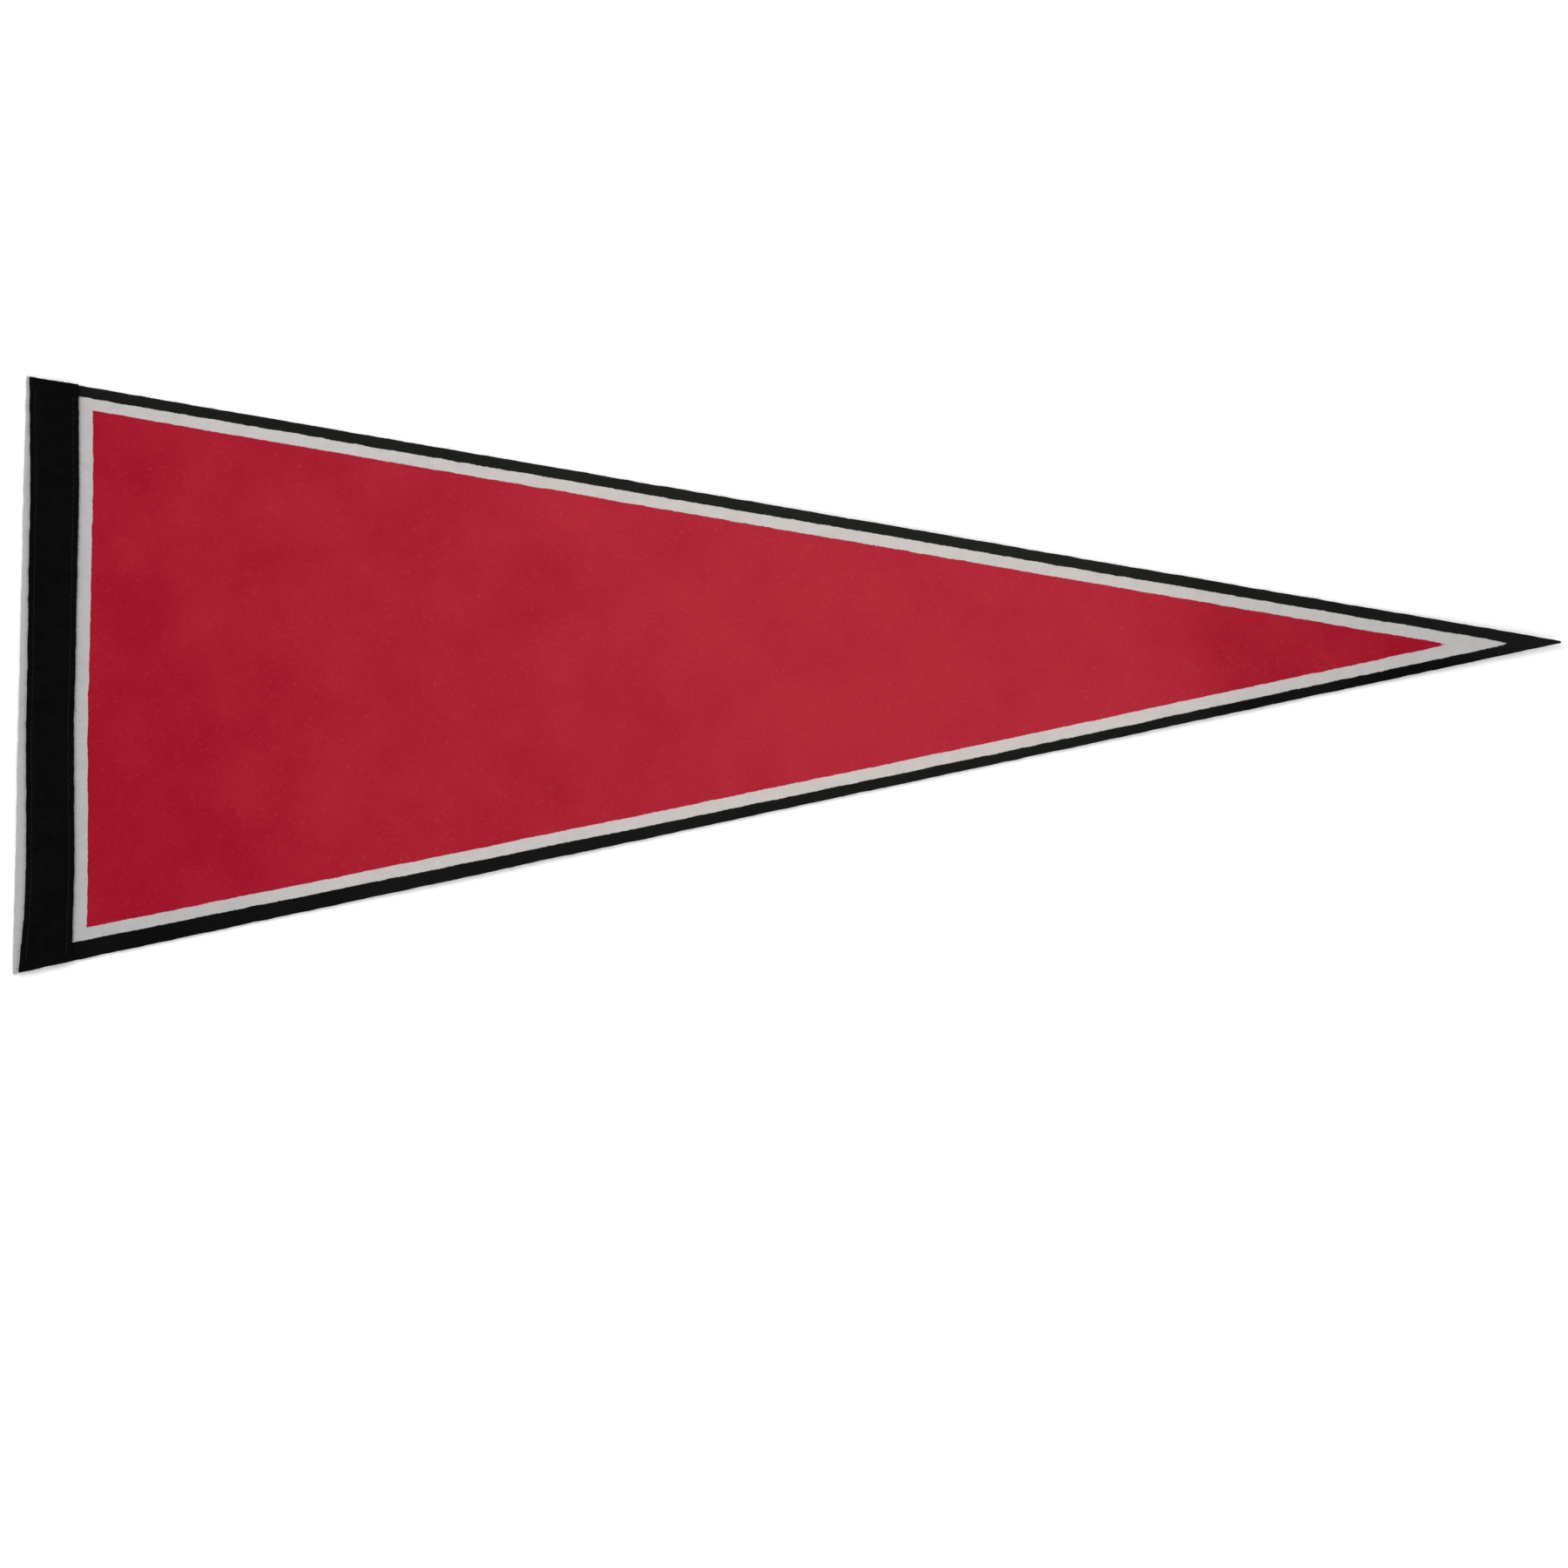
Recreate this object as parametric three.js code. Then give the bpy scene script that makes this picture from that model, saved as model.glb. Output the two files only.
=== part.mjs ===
// A felt pennant flag that lies face up on a flat surface, in millimetres.
// +X runs from the hoist to the tip, +Y from the foot of the hoist to its head, and +Z up from the surface.
// The origin is on the surface, under the middle of the flag's outline.

import * as THREE from 'three';
import { toCreasedNormals } from 'three/addons/utils/BufferGeometryUtils.js';

// The panel's outline: a long triangle whose tip is cut off bluntly
const LENGTH = 781.6; // from the foot of the hoist to the tip, along X
const HOIST = 301.5; // from the foot of the hoist to its head, along Y
const HOIST_LEAN = 6.9; // the head stands this much nearer to the tip than the foot does
const TIP_RISE = 16.7; // the tip's height over the middle of the hoist, along Y
const TIP_WIDTH = 0.8; // the blunt cut across the tip

// Felt
const PANEL_FELT = 1.6; // thickness of the panel
const STRIP_FELT = 1.5; // thickness of the heading strip
const SEAM_GAP = 0.3; // clearance between the two layers

// The heading strip's edges, a row for each place down the hoist from its head. The margin is the bare
// panel that shows between the hoist and the strip; the width is the strip's own.
const STRIP_EDGES = [
  { down: 0, margin: 1.7, width: 24.9 },
  { down: 26, margin: 2.4, width: 24.8 },
  { down: 52, margin: 3.3, width: 24.5 },
  { down: 97, margin: 3.5, width: 24.5 },
  { down: 141, margin: 3.8, width: 24.3 },
  { down: 185, margin: 4.2, width: 24.0 },
  { down: 229, margin: 5.1, width: 24.2 },
  { down: 256, margin: 5.3, width: 24.6 },
  { down: 275, margin: 4.9, width: 24.9 },
  { down: 291, margin: 3.7, width: 26.0 },
  { down: 301.5, margin: 3.0, width: 26.6 },
];
const STRIP_PROUD = 0.5; // the strip's inner corner stands this far past the panel's head edge

// The tip curls up off the surface
const CURL_REACH = 165; // from the tip back to the line where the curl begins
const CURL_HEIGHT = 2.8; // at the tip

// Where else the felt lifts off the surface: the middle of each soft swell, its half length and half width,
// the turn of its length from +X in degrees, and its height. Between them the underside is flat.
const SWELLS = [
  { place: 'hoist', x: -391, y: 22, reach: 96, spread: 60, turn: 90, height: 1.1 },
  { place: 'foot edge', x: -150, y: -101, reach: 104, spread: 46, turn: 10, height: 1.2 },
  { place: 'head edge', x: 35, y: 84, reach: 118, spread: 52, turn: -12, height: 1.5 },
  { place: 'near the tip', x: 208, y: -24, reach: 84, spread: 36, turn: 14, height: 0.9 },
];

// How finely the felt is divided
const PANEL_COLUMNS = 44; // from hoist to tip, with one row of triangles fewer in each
const STRIP_COLUMNS = 5; // across the strip
const STRIP_ROWS = 48; // down the strip
const CREASE = THREE.MathUtils.degToRad(40); // a sharper edge than this is shaded as a cut edge

// The panel's corners
const foot = new THREE.Vector2(-LENGTH / 2, -HOIST / 2);
const head = new THREE.Vector2(-LENGTH / 2 + HOIST_LEAN, HOIST / 2);
const tipFoot = new THREE.Vector2(LENGTH / 2, TIP_RISE - TIP_WIDTH / 2);
const tipHead = new THREE.Vector2(LENGTH / 2, TIP_RISE + TIP_WIDTH / 2);

// Height of the felt's underside over the surface
function lift(x, y) {
  const pastCurl = Math.max(0, x - (LENGTH / 2 - CURL_REACH));
  let height = CURL_HEIGHT * (pastCurl / CURL_REACH) ** 2;
  for (const swell of SWELLS) {
    const turn = THREE.MathUtils.degToRad(swell.turn);
    const fromMiddle = new THREE.Vector2(x - swell.x, y - swell.y).rotateAround(new THREE.Vector2(), -turn);
    const share = (fromMiddle.x / swell.reach) ** 2 + (fromMiddle.y / swell.spread) ** 2;
    if (share < 1) {
      height += swell.height * (1 - share) ** 2;
    }
  }
  return height;
}

// A line of evenly spaced points from one place to another, both ends included
function pointsBetween(from, to, steps) {
  const points = [];
  for (let i = 0; i <= steps; i += 1) {
    points.push(new THREE.Vector2().lerpVectors(from, to, i / steps));
  }
  return points;
}

// The triangles between two neighbouring lines of vertices, counter-clockwise from above. Both lines run
// towards the head, the second lies nearer to the tip, and either may have more vertices than the other.
function trianglesBetween(near, far) {
  const triangles = [];
  let i = 0;
  let j = 0;
  while (i < near.length - 1 || j < far.length - 1) {
    const nextNear = (i + 1) / (near.length - 1);
    const nextFar = (j + 1) / (far.length - 1);
    if (nextNear <= nextFar) {
      triangles.push([near[i], far[j], near[i + 1]]);
      i += 1;
    } else {
      triangles.push([near[i], far[j], far[j + 1]]);
      j += 1;
    }
  }
  return triangles;
}

// A closed sheet of even thickness that follows the swells. The columns are lines of points that run
// towards the head, in order from the hoist to the tip; `under` is the underside's height on flat felt.
function sheet(columns, under, thickness) {
  const positions = [];
  const bottom = [];
  const top = [];
  for (const column of columns) {
    const first = positions.length / 3;
    for (const point of column) {
      const z = under + lift(point.x, point.y);
      positions.push(point.x, point.y, z);
      positions.push(point.x, point.y, z + thickness);
    }
    bottom.push(column.map((point, row) => first + 2 * row));
    top.push(column.map((point, row) => first + 2 * row + 1));
  }

  const faces = [];
  for (let c = 0; c < columns.length - 1; c += 1) {
    faces.push(...trianglesBetween(top[c], top[c + 1]));
    faces.push(...trianglesBetween(bottom[c], bottom[c + 1]).map((face) => face.toReversed()));
  }

  // The cut edge all round, counter-clockwise from above
  const last = columns.length - 1;
  const rim = [
    ...bottom.map((column) => column[0]),
    ...bottom[last].slice(1),
    ...bottom.slice(0, last).map((column) => column.at(-1)).reverse(),
    ...bottom[0].slice(1, -1).reverse(),
  ];
  rim.forEach((here, i) => {
    const next = rim[(i + 1) % rim.length];
    faces.push([here, next, next + 1], [here, next + 1, here + 1]);
  });

  const geometry = new THREE.BufferGeometry();
  geometry.setAttribute('position', new THREE.Float32BufferAttribute(positions, 3));
  geometry.setIndex(faces.flat());
  return toCreasedNormals(geometry, CREASE);
}

// The panel: each column of points has one point fewer than the one before it, down to the two of the tip
function feltPanel() {
  const columns = [];
  for (let c = 0; c < PANEL_COLUMNS; c += 1) {
    const along = c / (PANEL_COLUMNS - 1);
    const low = new THREE.Vector2().lerpVectors(foot, tipFoot, along);
    const high = new THREE.Vector2().lerpVectors(head, tipHead, along);
    columns.push(pointsBetween(low, high, PANEL_COLUMNS - c));
  }
  const felt = new THREE.MeshStandardMaterial({ color: 0xa72632, roughness: 0.95, metalness: 0 });
  const mesh = new THREE.Mesh(sheet(columns, 0, PANEL_FELT), felt);
  mesh.name = 'felt_panel';
  return mesh;
}

// The strip: laid on the panel along the hoist, with both of its ends cut along the panel's edges
function headingStrip() {
  const down = new THREE.Vector2().subVectors(foot, head).normalize();
  const inward = new THREE.Vector2(-down.y, down.x);
  const hoistLength = head.distanceTo(foot);
  const headEdge = new THREE.Vector2().subVectors(tipHead, head);
  const footEdge = new THREE.Vector2().subVectors(tipFoot, foot);
  const headSlope = headEdge.dot(down) / headEdge.dot(inward);
  const footSlope = footEdge.dot(down) / footEdge.dot(inward);
  const margins = new THREE.SplineCurve(STRIP_EDGES.map((row) => new THREE.Vector2(row.down, row.margin)));
  const widths = new THREE.SplineCurve(STRIP_EDGES.map((row) => new THREE.Vector2(row.down, row.width)));

  const columns = [];
  for (let c = 0; c <= STRIP_COLUMNS; c += 1) {
    const across = c / STRIP_COLUMNS;
    const column = [];
    for (let r = STRIP_ROWS; r >= 0; r -= 1) {
      const share = r / STRIP_ROWS;
      const margin = margins.getPoint(share);
      const inset = margin.y + across * widths.getPoint(share).y;
      const start = inset * headSlope - across * STRIP_PROUD;
      const end = hoistLength + inset * footSlope;
      const place = THREE.MathUtils.lerp(start, end, margin.x / HOIST);
      column.push(head.clone().addScaledVector(down, place).addScaledVector(inward, inset));
    }
    columns.push(column);
  }
  const felt = new THREE.MeshStandardMaterial({ color: 0x0f0f10, roughness: 0.97, metalness: 0 });
  const mesh = new THREE.Mesh(sheet(columns, PANEL_FELT + SEAM_GAP, STRIP_FELT), felt);
  mesh.name = 'heading_strip';
  return mesh;
}

const pennant = new THREE.Group();
pennant.add(feltPanel(), headingStrip());
export default pennant;
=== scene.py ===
import math

import bpy
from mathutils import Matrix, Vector, noise


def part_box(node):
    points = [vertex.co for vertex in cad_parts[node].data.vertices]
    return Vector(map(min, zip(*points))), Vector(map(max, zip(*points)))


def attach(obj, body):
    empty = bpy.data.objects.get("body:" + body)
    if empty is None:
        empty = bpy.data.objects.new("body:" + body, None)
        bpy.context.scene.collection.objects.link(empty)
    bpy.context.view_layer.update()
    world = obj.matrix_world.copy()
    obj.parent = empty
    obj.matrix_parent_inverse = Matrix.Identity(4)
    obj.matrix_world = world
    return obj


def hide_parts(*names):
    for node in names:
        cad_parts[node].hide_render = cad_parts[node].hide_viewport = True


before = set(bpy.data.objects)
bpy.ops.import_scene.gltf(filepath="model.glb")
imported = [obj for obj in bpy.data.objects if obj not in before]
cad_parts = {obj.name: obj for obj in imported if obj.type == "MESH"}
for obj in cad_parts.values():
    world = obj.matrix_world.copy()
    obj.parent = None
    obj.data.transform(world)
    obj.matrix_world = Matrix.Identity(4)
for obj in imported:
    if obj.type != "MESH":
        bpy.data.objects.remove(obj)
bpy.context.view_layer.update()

# The felt panel. One long triangle of white pressed felt, cut with straight edges and laid face up. It
# keeps the soft swells and the curled tip that it got from being rolled, and the sewing along the hoist
# draws it in from both faces. The print on its front is colour alone, and part of its material.
MM = 0.001
panel_low, panel_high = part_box("felt_panel")
HOIST_LEAN = 6.9 * MM  # the head stands this much nearer to the tip than the foot does
TIP_RISE = 16.7 * MM  # the tip's height over the middle of the hoist
TIP_WIDTH = 0.8 * MM  # the blunt cut across the tip
PANEL_FELT = 1.6 * MM
EDGE_ROUND = 0.35 * MM  # a cut edge of felt is soft, and rounds off by this much
EDGE_PROUD = 0.15 * MM  # its loosened felt stands this far past the cut size
EDGE_RAGGED = 0.35  # the rounding grows and shrinks by this share
EDGE_RAG_SIZE = 2.7 * MM  # over this distance
PANEL_CELL = 2.1 * MM  # how finely the panel is divided
SEAM_CELL = 0.7 * MM  # and how finely across the sewn hoist
SEAM_BAND = 34 * MM  # from the hoist to where the cells begin to widen
CELL_GROWTH = 1.08  # from one cell to the next

foot = Vector((panel_low.x, panel_low.y))
head = Vector((panel_low.x + HOIST_LEAN, panel_high.y))
tip_foot = Vector((panel_high.x, TIP_RISE - TIP_WIDTH / 2))
tip_head = Vector((panel_high.x, TIP_RISE + TIP_WIDTH / 2))
hoist_length = (foot - head).length
down_hoist = (foot - head).normalized()
from_hoist = Vector((-down_hoist.y, down_hoist.x))

# The tip curls up past a line across the panel. Elsewhere the felt lies flat but for the swells: the middle
# of each, its half length and half width, the turn of its length from +X in degrees, and its height.
CURL_REACH = 165 * MM
CURL_HEIGHT = 2.8 * MM
SWELLS = [
    {"x": -391, "y": 22, "reach": 96, "spread": 60, "turn": 90, "height": 1.1},
    {"x": -150, "y": -101, "reach": 104, "spread": 46, "turn": 10, "height": 1.2},
    {"x": 35, "y": 84, "reach": 118, "spread": 52, "turn": -12, "height": 1.5},
    {"x": 208, "y": -24, "reach": 84, "spread": 36, "turn": 14, "height": 0.9},
]


def lift(x, y):
    """Height of the felt's underside over the surface that it lies on."""
    height = CURL_HEIGHT * (max(0.0, x - (panel_high.x - CURL_REACH)) / CURL_REACH) ** 2
    for swell in SWELLS:
        turn = math.radians(swell["turn"])
        dx = x / MM - swell["x"]
        dy = y / MM - swell["y"]
        along = (dx * math.cos(turn) + dy * math.sin(turn)) / swell["reach"]
        across = (dy * math.cos(turn) - dx * math.sin(turn)) / swell["spread"]
        share = along**2 + across**2
        if share < 1:
            height += swell["height"] * MM * (1 - share) ** 2
    return height


# The heading strip's edges, in millimetres: the bare margin beside the hoist and the strip's own width, by
# the distance down the hoist from its head. The panel's print and both seams follow them.
STRIP_EDGES = [
    {"down": 0, "margin": 1.7, "width": 24.9},
    {"down": 26, "margin": 2.4, "width": 24.8},
    {"down": 52, "margin": 3.3, "width": 24.5},
    {"down": 97, "margin": 3.5, "width": 24.5},
    {"down": 141, "margin": 3.8, "width": 24.3},
    {"down": 185, "margin": 4.2, "width": 24.0},
    {"down": 229, "margin": 5.1, "width": 24.2},
    {"down": 256, "margin": 5.3, "width": 24.6},
    {"down": 275, "margin": 4.9, "width": 24.9},
    {"down": 291, "margin": 3.7, "width": 26.0},
    {"down": 301.5, "margin": 3.0, "width": 26.6},
]


def strip_edge(down, column):
    """The margin or the width at a distance down the hoist, eased between the rows of the table."""
    down = min(max(down / MM, STRIP_EDGES[0]["down"]), STRIP_EDGES[-1]["down"])
    after = next(i for i, row in enumerate(STRIP_EDGES) if i and row["down"] >= down)
    rows = [STRIP_EDGES[min(max(i, 0), len(STRIP_EDGES) - 1)] for i in range(after - 2, after + 2)]
    start, end = rows[1], rows[2]
    span = end["down"] - start["down"]
    t = (down - start["down"]) / span
    slope_in = (end[column] - rows[0][column]) / (end["down"] - rows[0]["down"]) * span
    slope_out = (rows[3][column] - start[column]) / (rows[3]["down"] - start["down"]) * span
    rise = end[column] - start[column]
    eased = start[column] + t * slope_in
    eased += t**2 * (3 * rise - 2 * slope_in - slope_out)
    eased += t**3 * (slope_in + slope_out - 2 * rise)
    return eased * MM


def hoist_place(x, y):
    """How far down the hoist from its head, and how far in from it, a point of the panel lies."""
    offset = Vector((x, y)) - head
    return offset.dot(down_hoist), offset.dot(from_hoist)


# Two rows of lockstitch hold the strip, a little in from each of its edges, and draw the felt in
STITCH = 3.2 * MM  # about eight to the inch
SEAM_INSET = 2.8 * MM  # from the strip's edge to the seam
SEAM_HALF = 1.3 * MM  # how far to each side the thread draws the felt in
PANEL_PULL = 0.25 * MM  # how deep it draws in the panel's face
BACK_PULL = PANEL_PULL + 0.2 * MM  # and its back


def seam_pull(x, y):
    """How much the thread draws the felt in, from 0 away from the seams to 1 under them."""
    down, inset = hoist_place(x, y)
    margin = strip_edge(down, "margin")
    width = strip_edge(down, "width")
    nearest = min(abs(inset - margin - SEAM_INSET), abs(inset - margin - width + SEAM_INSET))
    return math.exp(-((nearest / SEAM_HALF) ** 2))


# Pressed felt is cloudy in its thickness, widely and finely. The sizes across are in millimetres.
WIDE_LUMP = 15
WIDE_LUMP_DEPTH = 0.09 * MM
FINE_LUMP = 5.5
FINE_LUMP_DEPTH = 0.045 * MM
BACK_LUMPS = 0.5  # the back lay on the press's bed, so its lumps have this share of the depth


def lumps(x, y, seed):
    """How much the felt's face stands up or sinks at a point, in one pattern for each seed."""
    place = Vector((x / MM, y / MM, seed))
    wide = WIDE_LUMP_DEPTH * noise.noise(place / WIDE_LUMP)
    return wide + FINE_LUMP_DEPTH * noise.noise(place / FINE_LUMP)


# The shears strayed, slowly as the hand drifts and fast with every bite: how far, and over what distance,
# in millimetres
DRIFT, DRIFT_OVER = 0.22, 46
BITE, BITE_OVER = 0.25, 7
ALONG_X, ALONG_Y = Vector((0, 0, 0)), Vector((31, 17, 5))  # two parts of the noise, one for each way


def stray(x, y):
    """How far the cut outline wavers along x and along y."""
    place = Vector((x / MM, y / MM, 0))
    return tuple(
        MM * (DRIFT * noise.noise(place / DRIFT_OVER + way) + BITE * noise.noise(place / BITE_OVER + way))
        for way in (ALONG_X, ALONG_Y)
    )


def panel_top(x, y):
    return lift(x, y) + PANEL_FELT + lumps(x, y, seed=0) - PANEL_PULL * seam_pull(x, y)


def panel_under(x, y):
    return max(0.0, lift(x, y) + lumps(x, y, seed=9) * BACK_LUMPS) + BACK_PULL * seam_pull(x, y)


# The print's layout, from how it was registered on the cut panel: even along the head edge, and along the
# foot edge a black border that is wide at the hoist and thins to its normal width past the middle
HEAD_BORDER = 5.4 * MM
FOOT_BORDER = 4.9 * MM
FOOT_BORDER_EXTRA = 4.1 * MM  # at the hoist
FOOT_BORDER_EVEN = 480 * MM  # from the strip to where the extra has run out
FOOT_BORDER_BEND = 1.5  # it runs out fast at first and slowly at the end
HEAD_KEYLINE = 5.8 * MM
FOOT_KEYLINE = 6.0 * MM
HOIST_KEYLINE = 6.9 * MM


def edge_distance(x, y, start, end):
    """How far inside the straight edge from start to end a point is, with the panel on the edge's left."""
    along = (end - start).normalized()
    return along.x * (y - start.y) - along.y * (x - start.x)


def print_distances(x, y):
    """How far inside each side of the keyline's outline a point is."""
    down, inset = hoist_place(x, y)
    from_strip = inset - strip_edge(down, "margin") - strip_edge(down, "width")
    thinning = max(0.0, 1 - max(0.0, from_strip) / FOOT_BORDER_EVEN) ** FOOT_BORDER_BEND
    return {
        "from_head": edge_distance(x, y, tip_head, head) - HEAD_BORDER,
        "from_foot": edge_distance(x, y, foot, tip_foot) - FOOT_BORDER - FOOT_BORDER_EXTRA * thinning,
        "from_strip": from_strip,
    }


def mitres(loop):
    """The outward direction at each point of a counter-clockwise outline, lengthened at its corners."""
    outward = []
    for i, point in enumerate(loop):
        before = (point - loop[i - 1]).normalized()
        after = (loop[(i + 1) % len(loop)] - point).normalized()
        first = Vector((before.y, -before.x))
        second = Vector((after.y, -after.x))
        outward.append((first + second) / (1 + first.dot(second)))
    return outward


def faces_between(near, far):
    """Triangles between two lines of vertices that run towards the head, the second nearer to the tip."""
    faces = []
    i = j = 0
    while i < len(near) - 1 or j < len(far) - 1:
        if (i + 1) / (len(near) - 1) <= (j + 1) / (len(far) - 1):
            faces.append((near[i], far[j], near[i + 1]))
            i += 1
        else:
            faces.append((near[i], far[j], far[j + 1]))
            j += 1
    return faces


# The soft profile of a cut edge, from the top face to the underside: how far out, as a share of EDGE_ROUND,
# how high, as a share of the thickness, how much of the printing ink reaches it, and how thick its fringe
# of loose fibres is
EDGE_PROFILE = [
    {"out": 0.7, "up": 0.93, "ink": 0.9, "fringe": 0.5},
    {"out": 1.0, "up": 0.70, "ink": 0.7, "fringe": 1.0},
    {"out": 1.0, "up": 0.30, "ink": 0.0, "fringe": 1.0},
    {"out": 0.7, "up": 0.07, "ink": 0.0, "fringe": 0.5},
]


def felt_sheet(name, columns, under, over):
    """One closed piece of felt over lines of points that run towards the head, from the hoist to the tip.
    Its attributes say how far each point is from the print's edges, how inked and how loose in its fibres.
    """
    points, ink = [], []

    def face_of_felt(height, inked):
        layer = []
        for column in columns:
            layer.append(list(range(len(points), len(points) + len(column))))
            points.extend((p.x, p.y, height(p.x, p.y)) for p in column)
            ink.extend([inked] * len(column))
        return layer

    low = face_of_felt(under, 0.0)
    high = face_of_felt(over, 1.0)
    fringe = [0.0] * len(points)
    nap = [1.0] * len(points)

    faces = []
    for c in range(len(columns) - 1):
        faces += faces_between(high[c], high[c + 1])
        faces += [face[::-1] for face in faces_between(low[c], low[c + 1])]

    def round_the_edge(layer):
        loop = [column[0] for column in layer] + layer[-1][1:]
        return loop + [column[-1] for column in layer[-2::-1]] + layer[0][-2:0:-1]

    low_loop = round_the_edge(low)
    rings = [round_the_edge(high)]
    outward = mitres([Vector(points[i][:2]) for i in low_loop])
    for row in EDGE_PROFILE:
        rings.append(list(range(len(points), len(points) + len(low_loop))))
        for bottom, top, out in zip(low_loop, rings[0], outward):
            x, y, z = points[bottom]
            ragged = 1 + EDGE_RAGGED * noise.noise(Vector((x, y, row["up"] * MM)) / EDGE_RAG_SIZE)
            x += out.x * EDGE_ROUND * row["out"] * ragged
            y += out.y * EDGE_ROUND * row["out"] * ragged
            points.append((x, y, z + (points[top][2] - z) * row["up"]))
            ink.append(row["ink"])
            fringe.append(row["fringe"])
            nap.append(0.0)
    rings.append(low_loop)
    for upper, lower in zip(rings, rings[1:]):
        for i in range(len(low_loop)):
            n = (i + 1) % len(low_loop)
            faces.append((lower[i], lower[n], upper[n], upper[i]))

    mesh = bpy.data.meshes.new(name)
    wavered = [tuple(Vector(p) + Vector((*stray(p[0], p[1]), 0))) for p in points]
    mesh.from_pydata(wavered, [], faces)
    mesh.shade_smooth()
    print_edges = [print_distances(x, y) for x, y, z in points]
    values = {key: [edges[key] for edges in print_edges] for key in print_edges[0]}
    for key, numbers in {**values, "ink": ink, "fringe": fringe, "nap": nap}.items():
        mesh.attributes.new(key, "FLOAT", "POINT").data.foreach_set("value", numbers)
    piece = bpy.data.objects.new(name, mesh)
    bpy.context.collection.objects.link(piece)
    return piece


# Lines of points across the panel, closest together over the sewn hoist. They run between corners that are
# moved in, because the soft edge is added outside them.
corners = [foot, tip_foot, tip_head, head]
inner_corners = [
    point - out * (EDGE_ROUND - EDGE_PROUD) for point, out in zip(corners, mitres(corners))
]
stations = [0.0]
step = SEAM_CELL
while stations[-1] < panel_high.x - panel_low.x:
    stations.append(stations[-1] + step)
    if stations[-1] > SEAM_BAND:
        step = min(PANEL_CELL, step * CELL_GROWTH)
panel_columns = []
for station in stations:
    share = station / stations[-1]
    low_end = inner_corners[0].lerp(inner_corners[1], share)
    high_end = inner_corners[3].lerp(inner_corners[2], share)
    rows = max(1, round((high_end - low_end).length / PANEL_CELL))
    panel_columns.append([low_end.lerp(high_end, i / rows) for i in range(rows + 1)])
panel = felt_sheet("felt_panel_cloth", panel_columns, panel_under, panel_top)


def linear(code):
    """An sRGB hex colour as the linear colour that the shaders take."""
    channels = [int(code[i : i + 2], 16) / 255 for i in (1, 3, 5)]
    return (*(c / 12.92 if c <= 0.04045 else ((c + 0.055) / 1.055) ** 2.4 for c in channels), 1.0)


def add(tree, kind, inputs=None, **settings):
    """One node with its settings. An input goes by its name, or by its number where several share a name,
    and is given a value, or another node's output to link to."""
    node = tree.nodes.new(kind)
    for key, value in settings.items():
        setattr(node, key, value)
    for key, value in (inputs or {}).items():
        if isinstance(value, bpy.types.NodeSocket):
            tree.links.new(value, node.inputs[key])
        else:
            node.inputs[key].default_value = value
    return node


def new_material(name):
    material = bpy.data.materials.new(name)
    material.use_nodes = True
    material.node_tree.nodes.clear()
    return material, material.node_tree


# Pressed wool-blend felt: short fibres that lie in every direction, matted by wetting and rolling. The eye
# sees no threads, only a soft tangle, clumps a few millimetres wide and a faint halo where light grazes it.
# Real fibres are too fine to show, so the tangle is drawn some ten times as coarse.
FIBRE_WIDTH = 0.4 * MM
FIBRE_LENGTH = 3.6 * MM
FIBRE_TURNS = (12, 73, 128)  # the layers of fibres, in degrees from +X
FIBRE_BEND = 5 * MM  # how far fibres stray sideways
FIBRE_WAVE = 9 * MM  # over this distance
CLUMP = 6 * MM
CLUMP_RELIEF = 0.8  # how high the clumps stand beside the tangle
NAP_DEPTH = 0.3 * MM
DEEPEST_HOLLOW, HIGHEST_FIBRE = 0.75, 1.25  # the heights of tangle and clumps together


def matted_fibres(tree, place):
    """The height of the tangle and the height of the clumps at a place on the cloth."""
    bend = add(tree, "ShaderNodeTexNoise", {"Vector": place, "Scale": 1 / FIBRE_WAVE, "Detail": 2.0})
    shift = add(
        tree,
        "ShaderNodeVectorMath",
        {0: bend.outputs["Color"], 1: (FIBRE_BEND, FIBRE_BEND, 0.0), 2: place},
        operation="MULTIPLY_ADD",
    )
    tangle = None
    for turn in FIBRE_TURNS:
        lay = add(
            tree,
            "ShaderNodeMapping",
            {
                "Vector": shift.outputs[0],
                "Rotation": (0.0, 0.0, math.radians(turn)),
                "Scale": (FIBRE_WIDTH, FIBRE_LENGTH, FIBRE_WIDTH),
            },
            vector_type="TEXTURE",
        )
        layer = add(tree, "ShaderNodeTexNoise", {"Vector": lay.outputs[0], "Scale": 1.0, "Detail": 1.0})
        height = layer.outputs["Fac"]
        if tangle is not None:
            height = add(tree, "ShaderNodeMath", {0: tangle, 1: height}, operation="MAXIMUM").outputs[0]
        tangle = height
    clumps = add(tree, "ShaderNodeTexNoise", {"Vector": place, "Scale": 1 / CLUMP, "Detail": 3.0})
    return tangle, clumps.outputs["Fac"]


def hollows(tree, tangle, clumps):
    """0 in the deepest hollows of the tangle and between the clumps, 1 on the highest fibres."""
    height = add(tree, "ShaderNodeMath", {0: clumps, 1: tangle}, operation="ADD")
    share = add(
        tree,
        "ShaderNodeMapRange",
        {"Value": height.outputs[0], "From Min": DEEPEST_HOLLOW, "From Max": HIGHEST_FIBRE},
    )
    return share.outputs[0]


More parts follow.
